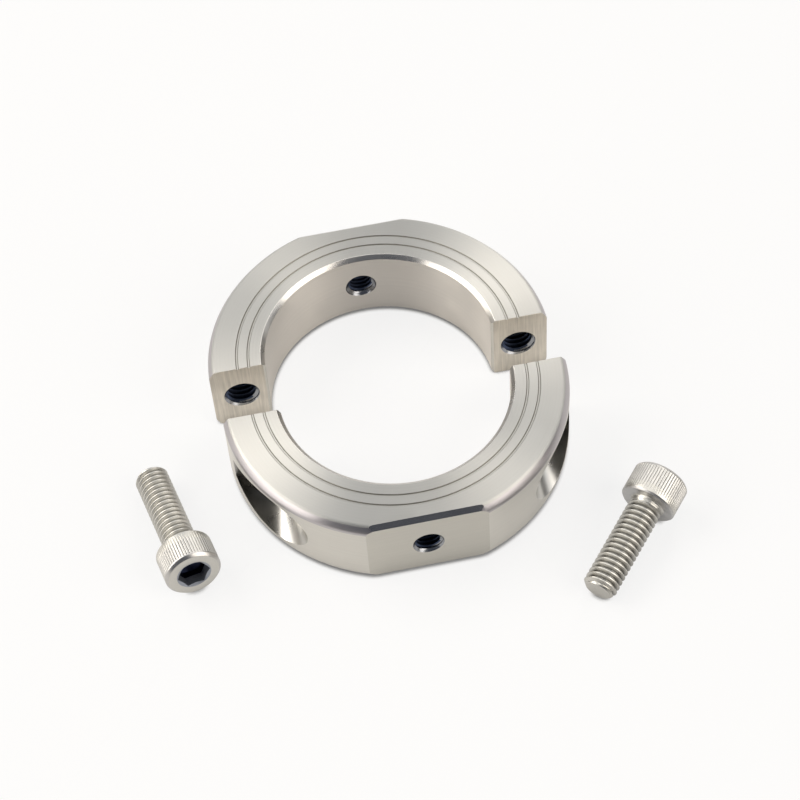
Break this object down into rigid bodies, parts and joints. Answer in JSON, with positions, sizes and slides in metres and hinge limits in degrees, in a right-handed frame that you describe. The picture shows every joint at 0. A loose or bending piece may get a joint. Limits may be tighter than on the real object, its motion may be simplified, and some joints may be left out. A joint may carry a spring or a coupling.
{
  "type": "two-piece shaft collar",
  "caption": "Split clamping collar for a round shaft, taken apart: a tapped half, a counterbored half and their socket head screws.",
  "frame": {"origin": "centre of the tapped half's bore, at mid-width", "axes": "+Z along the bore, up from the bench; +Y from the bore's centre towards the tapped half's flat; the counterbored half lies towards -Y"},
  "size_m": [0.0918, 0.0787, 0.015],
  "materials": {
    "turned_stainless": "turned and milled stainless steel",
    "screw_stainless": "plain stainless steel, satin"
  },
  "bodies": {
    "rear_half": {"tapped_half": "turned_stainless"},
    "front_half": {"counterbored_half": "turned_stainless"},
    "left_screw": {"left_clamp_screw": "screw_stainless"},
    "right_screw": {"right_clamp_screw": "screw_stainless"}
  },
  "joints": [
    {"name": "front_half_close", "type": "slide", "parent": "rear_half", "child": "front_half", "axis": [-0.1168, 0.9932, 0], "range_m": [0, 0.00856]},
    {"name": "left_screw_turn", "type": "hinge", "parent": "rear_half", "child": "left_screw", "pos_m": [-0.0395, -0.0271, -0.0026], "axis": [0.1981, -0.9736, 0.1136], "continuous": true},
    {"name": "right_screw_turn", "type": "hinge", "parent": "rear_half", "child": "right_screw", "pos_m": [0.0388, -0.0357, -0.0026], "axis": [0.6583, 0.7441, 0.1136], "continuous": true}
  ]
}
